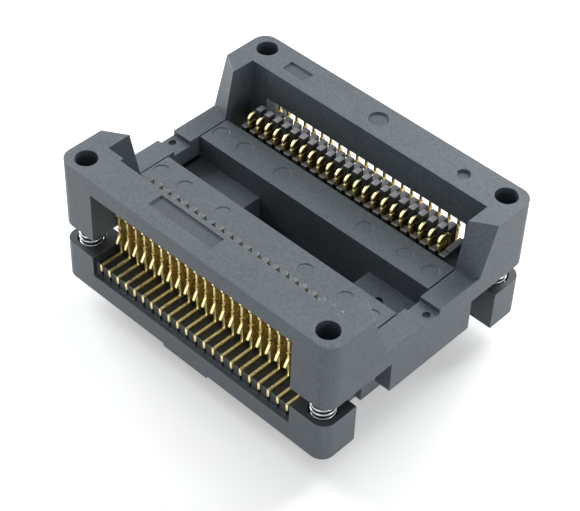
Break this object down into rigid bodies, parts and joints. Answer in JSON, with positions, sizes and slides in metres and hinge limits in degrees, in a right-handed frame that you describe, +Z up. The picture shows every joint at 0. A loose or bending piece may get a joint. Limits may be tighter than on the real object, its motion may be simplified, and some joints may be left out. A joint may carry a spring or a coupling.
{
  "type": "ic test socket adapter",
  "caption": "Open-top test socket for a two-row small-outline chip: a sprung cover frame is pressed down to swing the gold contact fingers open.",
  "frame": {"origin": "centre of the flat underside that faces the board", "axes": "+X along the contact rows, +Y from the front row to the back row, +Z up out of the board"},
  "size_m": [0.0376, 0.03, 0.0187],
  "materials": {
    "base_plastic": "moulded glass-filled plastic, matte with a fine speckle",
    "cover_plastic": "moulded glass-filled plastic, matte with a fine speckle",
    "contact_gold": "gold-plated stamped copper alloy",
    "spring_steel": "bright spring wire"
  },
  "bodies": {
    "base": {"base_housing": "base_plastic", "seat_platform": "base_plastic", "front_rib_comb": "base_plastic", "back_rib_comb": "base_plastic", "pin_guide_plate": "base_plastic", "front_terminals_inner": "contact_gold", "front_terminals_outer": "contact_gold", "back_terminals_inner": "contact_gold", "back_terminals_outer": "contact_gold", "front_left_spring": "spring_steel", "front_right_spring": "spring_steel", "back_left_spring": "spring_steel", "back_right_spring": "spring_steel"},
    "cover": {"cover_frame": "cover_plastic"},
    "front_arms": {"front_contact_arm_01": "contact_gold", "front_contact_arm_02": "contact_gold", "front_contact_arm_03": "contact_gold", "front_contact_arm_04": "contact_gold", "front_contact_arm_05": "contact_gold", "front_contact_arm_06": "contact_gold", "front_contact_arm_07": "contact_gold", "front_contact_arm_08": "contact_gold", "front_contact_arm_09": "contact_gold", "front_contact_arm_10": "contact_gold", "front_contact_arm_11": "contact_gold", "front_contact_arm_12": "contact_gold", "front_contact_arm_13": "contact_gold", "front_contact_arm_14": "contact_gold", "front_contact_arm_15": "contact_gold", "front_contact_arm_16": "contact_gold", "front_contact_arm_17": "contact_gold", "front_contact_arm_18": "contact_gold", "front_contact_arm_19": "contact_gold", "front_contact_arm_20": "contact_gold", "front_contact_arm_21": "contact_gold", "front_contact_arm_22": "contact_gold"},
    "back_arms": {"back_contact_arm_01": "contact_gold", "back_contact_arm_02": "contact_gold", "back_contact_arm_03": "contact_gold", "back_contact_arm_04": "contact_gold", "back_contact_arm_05": "contact_gold", "back_contact_arm_06": "contact_gold", "back_contact_arm_07": "contact_gold", "back_contact_arm_08": "contact_gold", "back_contact_arm_09": "contact_gold", "back_contact_arm_10": "contact_gold", "back_contact_arm_11": "contact_gold", "back_contact_arm_12": "contact_gold", "back_contact_arm_13": "contact_gold", "back_contact_arm_14": "contact_gold", "back_contact_arm_15": "contact_gold", "back_contact_arm_16": "contact_gold", "back_contact_arm_17": "contact_gold", "back_contact_arm_18": "contact_gold", "back_contact_arm_19": "contact_gold", "back_contact_arm_20": "contact_gold", "back_contact_arm_21": "contact_gold", "back_contact_arm_22": "contact_gold"}
  },
  "joints": [
    {"name": "cover_press", "type": "slide", "parent": "base", "child": "cover", "axis": [0, 0, -1], "range_m": [0, 0.0021], "stiffness_N_per_m": 1500, "springref_m": -0.002, "deforming": ["front_left_spring", "front_right_spring", "back_left_spring", "back_right_spring"]},
    {"name": "front_arms_swing", "type": "hinge", "parent": "base", "child": "front_arms", "pos_m": [0, -0.01145, 0.0075], "axis": [1, 0, 0], "range_deg": [0, 16]},
    {"name": "back_arms_swing", "type": "hinge", "parent": "base", "child": "back_arms", "pos_m": [0, 0.01145, 0.0075], "axis": [-1, 0, 0], "range_deg": [0, 16]}
  ],
  "couplings": [
    {"joint": "front_arms_swing", "follows": "cover_press", "rad_per_m": 132.97},
    {"joint": "back_arms_swing", "follows": "cover_press", "rad_per_m": 132.97}
  ]
}
